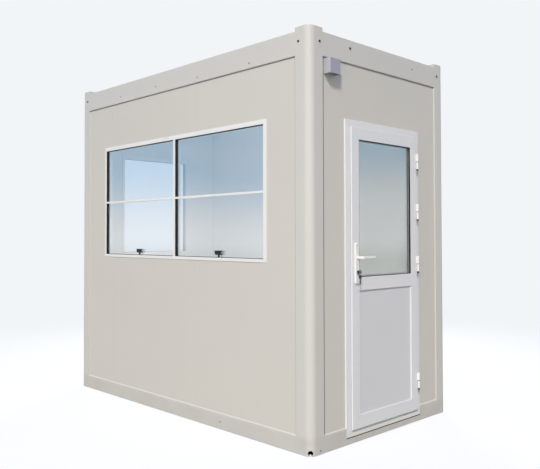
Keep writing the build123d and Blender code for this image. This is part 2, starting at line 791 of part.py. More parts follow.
# Inlet hood: a thin shell, open towards the wall and underneath
hood_left = post_width - half_width + hood_post_gap
hood_top = beam_bottom - hood_beam_gap
with BuildPart() as inlet_hood:
    with BuildSketch(Plane.YZ.offset(wall_face_end)):
        block(hood_left, hood_left + hood_width, hood_top - hood_height, hood_top)
    extrude(amount=hood_depth)
    fillet(inlet_hood.edges().filter_by(Axis.Z).sort_by(Axis.X)[-2:], moulding_radius)
    offset(
        amount=-hood_wall,
        openings=[inlet_hood.faces().sort_by(Axis.Z)[0], inlet_hood.faces().sort_by(Axis.X)[0]],
    )
inlet_hood.part.label = "inlet_hood"
export_step(inlet_hood.part, "parts/inlet_hood.step")
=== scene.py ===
import json
import math

import bmesh
import bpy
from mathutils import Matrix, Vector


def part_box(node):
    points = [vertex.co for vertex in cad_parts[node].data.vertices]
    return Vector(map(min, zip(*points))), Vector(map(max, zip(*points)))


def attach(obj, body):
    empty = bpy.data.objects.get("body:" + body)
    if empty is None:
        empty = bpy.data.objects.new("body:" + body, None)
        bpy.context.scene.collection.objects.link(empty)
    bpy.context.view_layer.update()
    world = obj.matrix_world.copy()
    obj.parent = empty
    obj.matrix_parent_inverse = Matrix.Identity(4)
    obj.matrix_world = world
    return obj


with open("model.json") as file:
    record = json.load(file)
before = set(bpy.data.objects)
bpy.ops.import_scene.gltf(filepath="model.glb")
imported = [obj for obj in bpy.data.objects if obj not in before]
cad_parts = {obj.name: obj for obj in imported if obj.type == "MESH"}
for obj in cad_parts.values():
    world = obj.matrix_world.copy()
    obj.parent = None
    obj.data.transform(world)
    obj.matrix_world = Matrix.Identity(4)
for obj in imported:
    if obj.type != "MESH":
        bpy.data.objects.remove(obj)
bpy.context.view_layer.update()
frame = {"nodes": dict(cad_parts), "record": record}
nodes = frame["nodes"]
scene = bpy.context.scene
mm = 0.001
print("frame loaded:", len(nodes), "nodes")


def toLinear(hexColour):
    channels = [int(hexColour[start:start + 2], 16) / 255 for start in (1, 3, 5)]
    return [c / 12.92 if c <= 0.04045 else ((c + 0.055) / 1.055) ** 2.4 for c in channels] + [1]


def addNode(material, kind, sockets=None, **settings):
    # a socket is given a value, another socket, or a node, which links by its first output
    node = material.node_tree.nodes.new("ShaderNode" + kind)
    for name, value in settings.items():
        setattr(node, name, value)
    for name, value in (sockets or {}).items():
        if isinstance(value, bpy.types.Node):
            value = value.outputs[0]
        if isinstance(value, bpy.types.NodeSocket):
            material.node_tree.links.new(value, node.inputs[name])
        else:
            node.inputs[name].default_value = value
    return node


def emptyMaterial(name):
    material = bpy.data.materials.new(name)
    material.use_nodes = True
    material.node_tree.nodes.clear()
    return material


def surfaceMaterial(finish, marks=None):
    # the colour drifts a little over toneMm, each relief is a bump of (size, depth) in mm,
    # and marks gives a mask of 0 to 1 for the lines, flecks, hidden sides or painted shade that take
    # markColour
    material = emptyMaterial(finish["name"])
    place = addNode(material, "TexCoord").outputs["Object"]
    where = addNode(material, "Mapping", {
        "Vector": place, "Scale": finish.get("stretch", (1, 1, 1)),
    })
    drift = addNode(material, "TexNoise", {
        "Vector": where, "Scale": 1000 / finish["toneMm"], "Detail": 3, "Roughness": 0.55,
    })
    value = addNode(material, "MapRange", {
        "Value": drift, "From Min": 0.25, "From Max": 0.75,
        "To Min": 1 - finish["toneShift"], "To Max": 1 + finish["toneShift"],
    })
    colour = addNode(material, "HueSaturation", {
        "Value": value, "Color": toLinear(finish["colour"]),
    })
    gloss = addNode(material, "MapRange", {
        "Value": drift, "From Min": 0.25, "From Max": 0.75,
        "To Min": finish["roughness"] - finish["roughShift"],
        "To Max": finish["roughness"] + finish["roughShift"],
    })
    if marks:
        colour = addNode(material, "Mix", {
            "Factor": marks(material, place), 6: colour, 7: toLinear(finish["markColour"]),
        }, data_type="RGBA").outputs[2]
    shader = addNode(material, "BsdfPrincipled", {"Base Color": colour, "Roughness": gloss})
    for sizeMm, depthMm in finish["relief"]:
        height = addNode(material, "TexNoise", {
            "Vector": where, "Scale": 1000 / sizeMm, "Detail": 2,
        })
        bump = addNode(material, "Bump", {"Height": height, "Distance": depthMm * mm})
        if shader.inputs["Normal"].is_linked:
            earlier = shader.inputs["Normal"].links[0].from_socket
            material.node_tree.links.new(earlier, bump.inputs["Normal"])
        material.node_tree.links.new(bump.outputs["Normal"], shader.inputs["Normal"])
    if finish.get("metallic"):
        shader.inputs["Metallic"].default_value = finish["metallic"]
    else:
        shader.inputs["IOR"].default_value = finish.get("ior", 1.5)
    addNode(material, "OutputMaterial", {"Surface": shader})
    return material


def coat(names, material):
    for name in names:
        for slot in nodes[name].material_slots:
            slot.material = material


def namesStarting(*starts):
    return [name for name in nodes if name.startswith(starts)]


shot = {
    "place": (4.1474, -3.6953, 1.3317),  # metres, off the corner by the door and 1.3 m up
    "heading": 45.0,
    "pitch": 1.30,
    "roll": -0.157,
    "lens": 44.48,
    "shift": (-0.0309, -0.0256),
}
bpy.ops.object.camera_add(location=shot["place"])
camera = bpy.context.object
camera.name = "camera"
turn = Matrix.Rotation(math.radians(shot["heading"]), 3, "Z")
tip = Matrix.Rotation(math.radians(90 + shot["pitch"]), 3, "X")
lean = Matrix.Rotation(math.radians(shot["roll"]), 3, "Z")
camera.rotation_euler = (turn @ tip @ lean).to_euler()
camera.data.lens = shot["lens"]
camera.data.sensor_width = 36
camera.data.shift_x, camera.data.shift_y = shot["shift"]
scene.camera = camera
scene.view_settings.view_transform = "Standard"

studio = {
    "background": "#F2F5F8",
    "haze": "#F1F4FA",        # what glass and metal mirror at eye level
    "sky": "#95C5E9",         # and what they mirror from higher up
    "skyFrom": -0.005,        # as the sine of the height where the haze ends
    "skyTo": 0.11,
    "groundFrom": -0.04,
    "hazeBank": 0.055,        # the haze stands this much higher behind the booth
    "cloudShare": 0.35,       # how far a cloud takes the blue away
    "ground": "#D0D4D7",      # what they mirror below the horizon
    "fill": 0.34,             # light from all round
    "fillColour": "#E6EEFF",
    "keyFrom": (1, -1.31, 1.35),
    "keyPower": 2.84,
    "keyColour": "#FFF9F1",
    "keySoftness": 9,         # degrees
    "sideFrom": (34, 15, 6.5),   # degrees round from the front, degrees up and metres away
    "sidePower": 55,
    "backFrom": (218, 30, 7),
    "backPower": 170,
    "lampSize": 3,            # metres across
    "roomPower": 19,
    "roomColour": "#FFFFFF",
    "roomLampSize": (2.2, 1.0),
    "roomLampHeight": 0.35,
    "floorColour": "#B4B6B9",
    "floorLift": 0.58,        # brings the lit floor up to the backdrop
    "floorFadeFrom": 2.2,
    "floorFadeTo": 6.0,
    "floorRadius": 16,
}


def seenRays(material):
    # 1 for what the lens sees, straight on or through glass, and 0 for mirrored and falling light
    rays = addNode(material, "LightPath").outputs
    straight = {0: rays["Is Camera Ray"], 1: rays["Is Transmission Ray"]}
    return addNode(material, "Math", straight, operation="MAXIMUM")


def makeWorld():
    world = bpy.data.worlds.new("paleStudio")
    world.use_nodes = True
    world.node_tree.nodes.clear()
    scene.world = world
    mirrorRays = addNode(world, "LightPath").outputs["Is Glossy Ray"]
    heading = addNode(world, "TexCoord").outputs["Generated"]
    parts = addNode(world, "SeparateXYZ", {"Vector": heading}).outputs
    behind = addNode(world, "Math", {0: parts["Y"], 1: 0}, operation="MAXIMUM")
    bank = addNode(world, "Math", {0: behind, 1: studio["hazeBank"]}, operation="MULTIPLY")
    climb = addNode(world, "MapRange", {
        "Value": addNode(world, "Math", {0: parts["Z"], 1: bank}, operation="SUBTRACT"),
        "From Min": studio["skyFrom"], "From Max": studio["skyTo"],
    }, interpolation_type="SMOOTHSTEP")
    streaks = addNode(world, "Mapping", {"Vector": heading, "Scale": (1, 1, 4)})
    puffs = addNode(world, "TexNoise", {"Vector": streaks, "Scale": 3, "Detail": 3})
    thin = addNode(world, "MapRange", {
        "Value": puffs, "From Min": 0.4, "From Max": 0.7, "To Min": 1, "To Max": 1 - studio["cloudShare"],
    })
    aloft = addNode(world, "Mix", {
        "Factor": addNode(world, "Math", {0: climb, 1: thin}, operation="MULTIPLY"),
        6: toLinear(studio["haze"]), 7: toLinear(studio["sky"]),
    }, data_type="RGBA").outputs[2]
    below = addNode(world, "MapRange", {
        "Value": parts["Z"], "From Min": studio["skyFrom"], "From Max": studio["groundFrom"],
    }, interpolation_type="SMOOTHSTEP")
    mirrored = addNode(world, "Mix", {
        "Factor": below, 6: aloft, 7: toLinear(studio["ground"]),
    }, data_type="RGBA").outputs[2]
    fill = addNode(world, "Background", {
        "Color": toLinear(studio["fillColour"]), "Strength": studio["fill"],
    })
    mirror = addNode(world, "Background", {"Color": mirrored})
    backdrop = addNode(world, "Background", {"Color": toLinear(studio["background"])})
    light = addNode(world, "MixShader", {0: mirrorRays, 1: fill, 2: mirror})
    shown = addNode(world, "MixShader", {0: seenRays(world), 1: light, 2: backdrop})
    addNode(world, "OutputWorld", {"Surface": shown})


def makeFloor():
    bpy.ops.mesh.primitive_circle_add(vertices=64, radius=studio["floorRadius"], fill_type="NGON",
                                      location=(0, 0, -0.5 * mm))
    floor = bpy.context.object
    floor.name = "studio_floor"
    material = emptyMaterial("paintedStudioFloor")
    where = addNode(material, "TexCoord").outputs["Object"]
    reach = addNode(material, "VectorMath", {0: where}, operation="LENGTH").outputs["Value"]
    away = addNode(material, "MapRange", {
        "Value": reach, "From Min": studio["floorFadeFrom"], "From Max": studio["floorFadeTo"],
    }, interpolation_type="SMOOTHSTEP")
    seen = seenRays(material)
    fade = addNode(material, "Math", {0: away, 1: seen}, operation="MULTIPLY")
    lift = addNode(material, "Math", {0: seen, 1: studio["floorLift"]}, operation="MULTIPLY")
    paint = addNode(material, "BsdfDiffuse", {"Color": toLinear(studio["floorColour"])})
    glow = addNode(material, "Emission", {"Color": toLinear(studio["background"]), "Strength": lift})
    near = addNode(material, "AddShader", {0: paint, 1: glow})
    far = addNode(material, "Emission", {"Color": toLinear(studio["background"])})
    blend = addNode(material, "MixShader", {0: fade, 1: near, 2: far})
    addNode(material, "OutputMaterial", {"Surface": blend})
    floor.data.materials.append(material)


def makeLamps():
    bpy.ops.object.light_add(type="SUN")
    key = bpy.context.object
    key.name = "key"
    key.rotation_euler = Vector(studio["keyFrom"]).to_track_quat("Z", "Y").to_euler()
    key.data.energy = studio["keyPower"]
    key.data.angle = math.radians(studio["keySoftness"])
    key.data.color = toLinear(studio["keyColour"])[:3]
    for name in ("side", "back"):
        around, up, distance = studio[name + "From"]
        around, up = math.radians(around), math.radians(up)
        level = math.cos(up)
        towards = Vector((math.sin(around) * level, -math.cos(around) * level, math.sin(up)))
        bpy.ops.object.light_add(type="AREA", location=towards * distance + Vector((0, 0, 1)))
        lamp = bpy.context.object
        lamp.name = name
        lamp.rotation_euler = towards.to_track_quat("Z", "Y").to_euler()
        lamp.data.shape = "DISK"
        lamp.data.size = studio["lampSize"]
        lamp.data.energy = studio[name + "Power"]
        lamp.visible_glossy = False
    bpy.ops.object.light_add(type="AREA", location=(0, 0, studio["roomLampHeight"]),
                             rotation=(math.pi, 0, 0))   # turned to shine up
    room = bpy.context.object
    room.name = "room_fill"
    room.data.shape = "RECTANGLE"
    room.data.size, room.data.size_y = studio["roomLampSize"]
    room.data.energy = studio["roomPower"]
    room.data.color = toLinear(studio["roomColour"])[:3]
    room.visible_glossy = False


makeWorld()
makeFloor()
makeLamps()
print("studio ready")

# Polyester powder baked on formed steel: an even satin off-white with the faint pebbling of
# orange peel, near black painted shade on the faces that look into the base, and a patchy
# darkening towards the ground outside it. Real peel is 2 to 4 mm wide, drawn 9 mm wide so that it shows.
framePaint = {
    "name": "powderCoatedSteel", "colour": "#CCC9C3", "markColour": "#2E2D2B", "toneShift": 0.012,
    "toneMm": 420, "roughness": 0.36, "roughShift": 0.05, "relief": [(9, 0.02)],
    "darkening": 0.085, "darkeningFrom": 80, "darkeningMm": 130,   # it thins out between these two heights
    "postRadius": 50, "shadeInset": 2,
}


def shadeInsideAndLowDarkening(material, place):
    # painted shade below the top of the base, a little inside the rounded outline of the booth,
    # and a patchy darkening thinning out upwards from the ground
    corner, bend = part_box("corner_feet")[1], framePaint["postRadius"] * mm
    core = (corner.x - bend, corner.y - bend, 10)   # height plays no part
    away = addNode(material, "VectorMath", {0: place}, operation="ABSOLUTE")
    past = addNode(material, "VectorMath", {0: away, 1: core}, operation="SUBTRACT")
    outside = addNode(material, "VectorMath", {0: past, 1: (0, 0, 0)}, operation="MAXIMUM")
    reach = addNode(material, "VectorMath", {0: outside}, operation="LENGTH").outputs["Value"]
    height = addNode(material, "SeparateXYZ", {"Vector": place}).outputs["Z"]
    edge, baseTop = bend - framePaint["shadeInset"] * mm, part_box("base_beam_front")[1].z
    # painted shade: the faces inside the base are coloured near black, as if in shade
    within = addNode(material, "Math", {0: reach, 1: edge}, operation="LESS_THAN")
    under = addNode(material, "Math", {0: height, 1: baseTop - 0.5 * mm}, operation="LESS_THAN")
    insideShade = addNode(material, "Math", {0: within, 1: under}, operation="MULTIPLY")
    # a patchy darkening of the colour towards the ground
    patches = addNode(material, "TexNoise", {
        "Vector": place, "Scale": 1000 / framePaint["darkeningMm"], "Detail": 3,
    })
    rise = addNode(material, "MapRange", {
        "Value": height, "From Min": framePaint["darkeningFrom"] * mm, "From Max": framePaint["darkeningMm"] * mm,
        "To Min": 1, "To Max": 0,
    }, interpolation_type="SMOOTHSTEP")
    patchesLow = addNode(material, "Math", {0: rise, 1: patches}, operation="MULTIPLY")
    darkeningShare = addNode(material, "Math", {0: patchesLow, 1: 2 * framePaint["darkening"]}, operation="MULTIPLY")
    return addNode(material, "Math", {0: insideShade, 1: darkeningShare}, operation="MAXIMUM")


framePaintMaterial = surfaceMaterial(framePaint, shadeInsideAndLowDarkening)
coat(namesStarting("base_beam", "top_beam", "corner_"), framePaintMaterial)

# Hot-dip galvanised channel: dull blue-grey zinc with a pattern of frost-like crystals 15 mm across.
joistZinc = {
    "name": "galvanisedSteel", "colour": "#9DA3A8", "toneShift": 0.1, "toneMm": 60,
    "roughness": 0.45, "roughShift": 0.12, "relief": [(15, 0.02)], "metallic": 0.9,
}
coat(["floor_joists"], surfaceMaterial(joistZinc))

# Coil-coated trapezoidal steel: thin smooth paint, slightly wavy between the ribs.
roofPaint = {
    "name": "coilCoatedRoofSheet", "colour": "#C9C8C2", "toneShift": 0.03, "toneMm": 300,
    "roughness": 0.42, "roughShift": 0.08, "relief": [(140, 0.15)],
}
coat(["roof_sheet"], surfaceMaterial(roofPaint))

# Coil-coated skin of a foam-cored panel: smoother than powder coat, with the slight waviness
# of thin steel glued to foam, warm grey outside and plain white in the room.
panelSkin = {
    "name": "coilCoatedPanelSkin", "colour": "#CDC9C1", "markColour": "#E0E0DD",
    "toneShift": 0.012, "toneMm": 700, "roughness": 0.44, "roughShift": 0.05,
    "relief": [(420, 0.25), (12, 0.01)],
    "roomReach": 8,            # past the edge of the ceiling
}


def roomSide(material, place):
    # the faces that look into the room, which lie inside the ceiling's outline or just past it
    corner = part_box("ceiling_panel")[1]
    away = addNode(material, "VectorMath", {0: place}, operation="ABSOLUTE")
    parts = addNode(material, "SeparateXYZ", {"Vector": away}).outputs
    within = [addNode(material, "Math", {
        0: parts[axis.upper()], 1: getattr(corner, axis) + panelSkin["roomReach"] * mm,
    }, operation="LESS_THAN") for axis in "xy"]
    return addNode(material, "Math", {0: within[0], 1: within[1]}, operation="MULTIPLY")


coat(["front_wall", "back_wall", "far_wall"] + namesStarting("door_wall"),
     surfaceMaterial(panelSkin, roomSide))

# The same coated steel as the walls, in the ceiling's plain white.
ceilingSkin = dict(panelSkin, name="coilCoatedCeilingSkin", colour="#E2E2DF")
coat(["ceiling_panel"], surfaceMaterial(ceilingSkin))

# Welded PVC floor sheet: matt mid grey with pale 4 mm chips, drawn 9 mm apart so that they show.
floorSheet = {
    "name": "chippedPvcFloor", "colour": "#8E8C88", "markColour": "#B4B1AA", "chipMm": 9,
    "toneShift": 0.03, "toneMm": 350, "roughness": 0.6, "roughShift": 0.06, "relief": [(5, 0.02)],
}


def floorChips(material, place):
    cells = addNode(material, "TexVoronoi", {"Vector": place, "Scale": 1000 / floorSheet["chipMm"]})
    return addNode(material, "MapRange", {
        "Value": cells, "From Min": 0.2, "From Max": 0.24, "To Min": 1, "To Max": 0,
    })


coat(["floor_board"], surfaceMaterial(floorSheet, floorChips))


def mitreLines(*frames):
    # a weld line across each corner of a rectangular frame, given as its node, the coordinate it
    # runs along and the widths in mm of its low, high, foot and top faces (0 where it has none);
    # a real weld is 0.5 mm wide, drawn 2 mm wide so that it shows
    def marks(material, place):
        parts = addNode(material, "SeparateXYZ", {"Vector": place}).outputs
        found = 0
        for name, along, widths in frames:
            low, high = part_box(name)
            shares, faces = [], []
            for axis, lowFace, highFace in ((along, *widths[:2]), ("z", *widths[2:])):
                middle = (getattr(low, axis) + getattr(high, axis)) / 2
                half = (getattr(high, axis) - getattr(low, axis)) / 2
                coordinate = parts[axis.upper()]
                offset = addNode(material, "Math", {0: coordinate, 1: middle}, operation="SUBTRACT")
                away = addNode(material, "Math", {0: offset}, operation="ABSOLUTE")
                inwards = addNode(material, "Math", {0: half, 1: away}, operation="SUBTRACT")
                lowSide = addNode(material, "Math", {0: offset, 1: 0}, operation="LESS_THAN")
                face = addNode(material, "Math", {
                    0: lowSide, 1: (lowFace - highFace) * mm, 2: highFace * mm,
                }, operation="MULTIPLY_ADD")
                width = addNode(material, "Math", {0: face, 1: 0.01 * mm}, operation="MAXIMUM")
                shares.append(addNode(material, "Math", {0: inwards, 1: width}, operation="DIVIDE"))
                faces.append(face)
            narrower = addNode(material, "Math", dict(enumerate(faces)), operation="MINIMUM")
            lesser = addNode(material, "Math", dict(enumerate(shares)), operation="MINIMUM")
            apart = addNode(material, "Math", dict(enumerate(shares)), operation="SUBTRACT")
            apart = addNode(material, "Math", {0: apart}, operation="ABSOLUTE")
            distance = addNode(material, "Math", {0: apart, 1: narrower}, operation="MULTIPLY")
            line = 1
            for value, test, limit in ((distance, "LESS_THAN", 1 * mm), (lesser, "LESS_THAN", 1),
                                       (narrower, "GREATER_THAN", 1 * mm)):
                passed = addNode(material, "Math", {0: value, 1: limit}, operation=test)
                line = addNode(material, "Math", {0: line, 1: passed}, operation="MULTIPLY")
            found = addNode(material, "Math", {0: found, 1: line}, operation="MAXIMUM")
        return found
    return marks


# Extruded unplasticised PVC: clean white, smooth and half glossy, with a weld line at each corner.
windowProfile = {
    "name": "extrudedWhitePvc", "colour": "#E6E6E4", "markColour": "#CFCFCD", "toneShift": 0.01,
    "toneMm": 200, "roughness": 0.3, "roughShift": 0.04, "relief": [(60, 0.03)],
}
coat(["front_window_frame", "far_window_frame"], surfaceMaterial(windowProfile, mitreLines(
    ("front_window_frame", "x", (18, 30, 21, 30)), ("far_window_frame", "y", (25, 25, 21, 30)))))

# Extruded EPDM rubber: near black and matt, with a bloom along its length.
gasketRubber = {
    "name": "extrudedEpdmRubber", "colour": "#101112", "toneShift": 0.15, "toneMm": 40,
    "roughness": 0.7, "roughShift": 0.08, "relief": [(4, 0.03)],
}
rubberMaterial = surfaceMaterial(gasketRubber)
coat(["front_window_gaskets"], rubberMaterial)

# The same rubber in pale grey, round the far window and in the rebate of the door.
paleRubber = dict(gasketRubber, name="extrudedGreyRubber", colour="#A6A8AA", toneShift=0.04)
coat(["far_window_gaskets", "door_seal"], surfaceMaterial(paleRubber))

# And a black lip at the mouth of the door's reveal, extruded in one with a pale foot round the pane.
lippedRubber = dict(gasketRubber, name="twoToneRubber", markColour="#D9D9DA", foot=1)


def paleFoot(material, place):
    parts = addNode(material, "SeparateXYZ", {"Vector": place}).outputs
    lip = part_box("door_glass")[1].x + lippedRubber["foot"] * mm
    return addNode(material, "Math", {0: parts["X"], 1: lip}, operation="LESS_THAN")


coat(["door_glass_gasket"], surfaceMaterial(lippedRubber, paleFoot))

# Glass-filled nylon: black, moulded with a fine spark texture that dulls it.
catchNylon = {
    "name": "mouldedBlackNylon", "colour": "#141516", "toneShift": 0.1, "toneMm": 30,
    "roughness": 0.5, "roughShift": 0.06, "relief": [(2, 0.02)],
}
nylonMaterial = surfaceMaterial(catchNylon)
coat(["window_catches"], nylonMaterial)


def glassMaterial(finish):
    # each face mirrors a share of what is in front of it, and the rest goes straight on through
    # the tint; the mirror image bends a little in the pane's long waves
    material = emptyMaterial(finish["name"])
    where = addNode(material, "TexCoord").outputs["Object"]
    waves = addNode(material, "TexNoise", {
        "Vector": where, "Scale": 1000 / finish["waveMm"], "Detail": 1,
    })
    normal = addNode(material, "Bump", {"Height": waves, "Distance": finish["waveDepth"] * mm})
    through = addNode(material, "BsdfTransparent", {"Color": toLinear(finish["tint"])})
    mirror = addNode(material, "BsdfPrincipled", {
        "Base Color": toLinear(finish["mirror"]), "Metallic": 1, "Roughness": 0.02, "Normal": normal,
    })
    pane = addNode(material, "MixShader", {0: finish["share"], 1: through, 2: mirror})
    addNode(material, "OutputMaterial", {"Surface": pane})
    return material


# Float glass with a reflective coating: a cool tint, and a mirror image of the surroundings
# that drowns the room.
windowGlass = {
    "name": "reflectiveFloatGlass", "tint": "#FBFDFE", "mirror": "#FCFDFF", "share": 0.27,
    "waveMm": 700, "waveDepth": 0.02,
}
coat(["front_window_upper_panes", "front_window_lower_panes"], glassMaterial(windowGlass))

# Plain float glass: it mirrors less and lets more of the light through.
farGlass = dict(windowGlass, name="plainFloatGlass", share=0.06)
coat(["far_window_panes"], glassMaterial(farGlass))

# The reflective glass of the front window again, with a greyer body and more of a mirror.
doorGlass = dict(windowGlass, name="greyTintedFloatGlass", tint="#E3E5E3", mirror="#FBFBF9", share=0.35)
coat(["door_glass"], glassMaterial(doorGlass))

# Extruded PVC of the door, a colder white than the windows, with weld lines at the corners.
doorProfile = {
    "name": "extrudedCoolWhitePvc", "colour": "#DFDFE0", "markColour": "#CACACC", "toneShift": 0.01,
    "toneMm": 260, "roughness": 0.32, "roughShift": 0.04, "relief": [(60, 0.03)],
}
coat(["door_frame", "door_leaf_frame"],
     surfaceMaterial(doorProfile, mitreLines(("door_frame", "y", (45, 45, 0, 45)),
                                             ("door_leaf_frame", "y", (75, 75, 86, 80)))))

# PVC sheet laminated to a foam board: the same white, a touch flatter and darker.
doorPanelSkin = dict(doorProfile, name="laminatedPvcPanel", colour="#D4D4D6", roughness=0.4)
coat(["door_lower_panel"], surfaceMaterial(doorPanelSkin))

# Extruded aluminium with a light grey stoved enamel, rubbed duller along the tread.
sillEnamel = {
    "name": "stoveEnamelledAluminium", "colour": "#E2E2DA", "toneShift": 0.03, "toneMm": 80,
    "stretch": (1, 0.1, 1), "roughness": 0.4, "roughShift": 0.08, "relief": [(3, 0.01)],
}
coat(["door_sill"], surfaceMaterial(sillEnamel))

# Gloss powder coat on die-cast zinc: bright white with tight highlights.
handlePaint = {
    "name": "glossWhitePowderCoat", "colour": "#E6E6E4", "toneShift": 0.01, "toneMm": 60,
    "roughness": 0.22, "roughShift": 0.03, "relief": [(6, 0.01)],
}
handlePaintMaterial = surfaceMaterial(handlePaint)
coat(["handle_plates", "door_lever", "hinge_frame_halves", "hinge_leaf_halves"], handlePaintMaterial)

# Turned brass under old nickel, tarnished dark and streaked round the barrel.
lockBrass = {
    "name": "tarnishedNickelledBrass", "colour": "#6A6558", "toneShift": 0.06, "toneMm": 12,
    "roughness": 0.3, "roughShift": 0.08, "relief": [(1.5, 0.01)], "metallic": 1,
}
coat(["lock_cylinder"], surfaceMaterial(lockBrass))

# Injection-moulded ABS: even lavender grey with a fine matt grain, and painted shade that
# makes the outer face darker than the sides. The grain is 0.3 mm, drawn 3 mm so that it shows.
hoodPlastic = {
    "name": "mouldedGreyAbs", "colour": "#B0B1B8", "markColour": "#9FA0AC", "toneShift": 0.03,
    "toneMm": 50, "roughness": 0.48, "roughShift": 0.05, "relief": [(3, 0.02)],
}


def shadedOuterFace(material, place):
    # painted shade: the face that looks out along X takes the darker markColour
    parts = addNode(material, "SeparateXYZ", {"Vector": place}).outputs
    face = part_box("inlet_hood")[1].x - 1 * mm
    return addNode(material, "Math", {0: parts["X"], 1: face}, operation="GREATER_THAN")


coat(["inlet_hood"], surfaceMaterial(hoodPlastic, shadedOuterFace))
print("materials on the frame")


def selectOnly(*pieces):
    # the first piece becomes the active one
    for other in list(bpy.context.selected_objects):
        other.select_set(False)
    for piece in pieces:
        piece.select_set(True)
    if pieces:
        bpy.context.view_layer.objects.active = pieces[0]


def startEditing(piece):
    # in edit mode, with nothing selected in the piece
    selectOnly(piece)
    bpy.ops.object.mode_set(mode="EDIT")
    bpy.ops.mesh.select_all(action="DESELECT")


def pick(piece, kind, test):
    # faces are tested by their middle and normal, edges by their middle and direction
    bpy.ops.mesh.select_all(action="DESELECT")
    bpy.context.tool_settings.mesh_select_mode = (False, kind == "edges", kind == "faces")
    mesh = bmesh.from_edit_mesh(piece.data)
    if kind == "faces":
        for face in mesh.faces:
            face.select_set(test(face.calc_center_median(), face.normal))
    else:
        for edge in mesh.edges:
            start, end = (corner.co for corner in edge.verts)
            edge.select_set(test((start + end) / 2, (end - start).normalized()))
    mesh.select_flush_mode()
    bmesh.update_edit_mesh(piece.data)


def raiseFaces(distance):
    bpy.ops.mesh.extrude_region_shrink_fatten(TRANSFORM_OT_shrink_fatten={"value": distance})


def startPrimitive(shape, name, scale=None, **settings):
    # a primitive at its size and place, ready to be edited
    selectOnly()
    getattr(bpy.ops.mesh, "primitive_" + shape + "_add")(**settings)
    piece = bpy.context.object
    piece.name = name
    if scale:
        piece.scale = scale
    bpy.ops.object.transform_apply(location=True, rotation=True, scale=True)
    return piece


def joinPieces(name, pieces):
    selectOnly(*pieces)
    if len(pieces) > 1:
        bpy.ops.object.join()
    joined = bpy.context.object
    joined.name = name
    return joined


def copyTo(model, placements):
    # one copy of the model at each placement, each with its own mesh; the model itself goes
    copies = []
    for placement in placements:
        copied = bpy.data.objects.new(model.name, model.data.copy())
        copied.data.transform(placement)
        scene.collection.objects.link(copied)
        copies.append(copied)
    bpy.data.objects.remove(model)
    return copies


def finishPiece(piece, material, body, smoothBelow=35):
    selectOnly(piece)
    bpy.ops.object.transform_apply(location=True, rotation=True, scale=True)
    bpy.ops.object.shade_smooth_by_angle(angle=math.radians(smoothBelow))
    piece.data.materials.clear()
    piece.data.materials.append(material)
    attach(piece, body)


def facing(place, outwards, spin=0):
    # stands a model made on +Z on a face that looks outwards
    stand = Vector(outwards).to_track_quat("Z", "Y").to_matrix().to_4x4()
    return Matrix.Translation(Vector(place) * mm) @ stand @ Matrix.Rotation(math.radians(spin), 4, "Z")


def modelHexBolt(size):
    # a chamfered hexagon head on a round washer, standing on +Z
    thickness = size["washerThickness"]
    washer = startPrimitive("cylinder", "washer", vertices=size["sides"], radius=size["washer"] / 2 * mm,
                            depth=thickness * mm, location=(0, 0, thickness / 2 * mm))
    startEditing(washer)
    pick(washer, "edges", lambda middle, way: middle.z > thickness * 0.9 * mm)
    bpy.ops.mesh.bevel(offset=thickness * 0.4 * mm, segments=1, affect="EDGES")
    pick(washer, "faces", lambda middle, normal: normal.z > 0.9)
    bpy.ops.mesh.inset(thickness=(size["washer"] - size["across"]) / 2 * mm)
    bpy.ops.object.mode_set(mode="OBJECT")
    head = startPrimitive("cylinder", "head", vertices=6, radius=size["across"] / math.sqrt(3) * mm,
                          depth=size["height"] * mm,
                          location=(0, 0, (thickness + size["height"] / 2) * mm))
    startEditing(head)
    top = (thickness + size["height"]) * mm
    pick(head, "faces", lambda middle, normal: normal.z > 0.9)
    bpy.ops.mesh.inset(thickness=size["across"] * 0.08 * mm)
    bpy.ops.transform.translate(value=(0, 0, size["across"] * 0.05 * mm))
    pick(head, "edges", lambda middle, way: abs(way.z) > 0.9 and middle.z < top)
    bpy.ops.mesh.bevel(offset=size["across"] * 0.03 * mm, segments=1, affect="EDGES")
    bpy.ops.object.mode_set(mode="OBJECT")
    return joinPieces("hex_bolt", [washer, head])


# Zinc-plated steel gone dark with weather: dull, brownish black, rougher where it has rusted.
boltSteel = {
    "name": "weatheredZincPlate", "colour": "#3F3B36", "toneShift": 0.25, "toneMm": 8,
    "roughness": 0.5, "roughShift": 0.12, "relief": [(3, 0.05)], "metallic": 0.6,
}
boltMaterial = surfaceMaterial(boltSteel)
frameBolts = {
    "across": 11, "height": 4, "washer": 15, "washerThickness": 1.6, "sides": 24,
    "fromCorner": 92, "headHeight": 2533,      # beside each corner, on both of its faces
    "endBeamPlace": (-364, 2545),
    "turned": (20, 17, 41),   # degrees, on the end beams and beside the corners on each face
}
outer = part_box("corner_post_front_door")
endX, sideY = outer[1].x / mm, -outer[0].y / mm
boltPlaces = []
endTurn, sideTurn, cornerTurn = frameBolts["turned"]
for towardsX in (-1, 1):
    boltPlaces.append(facing((towardsX * endX, *frameBolts["endBeamPlace"]), (towardsX, 0, 0), endTurn))
    for towardsY in (-1, 1):
        boltPlaces.append(facing((towardsX * (endX - frameBolts["fromCorner"]), towardsY * sideY,
                                  frameBolts["headHeight"]), (0, towardsY, 0), sideTurn * towardsX))
        boltPlaces.append(facing((towardsX * endX, towardsY * (sideY - frameBolts["fromCorner"]),
                                  frameBolts["headHeight"]), (towardsX, 0, 0),
                                 cornerTurn * towardsY))
bolts = joinPieces("frame_bolts", copyTo(modelHexBolt(frameBolts), boltPlaces))
finishPiece(bolts, boltMaterial, "booth")
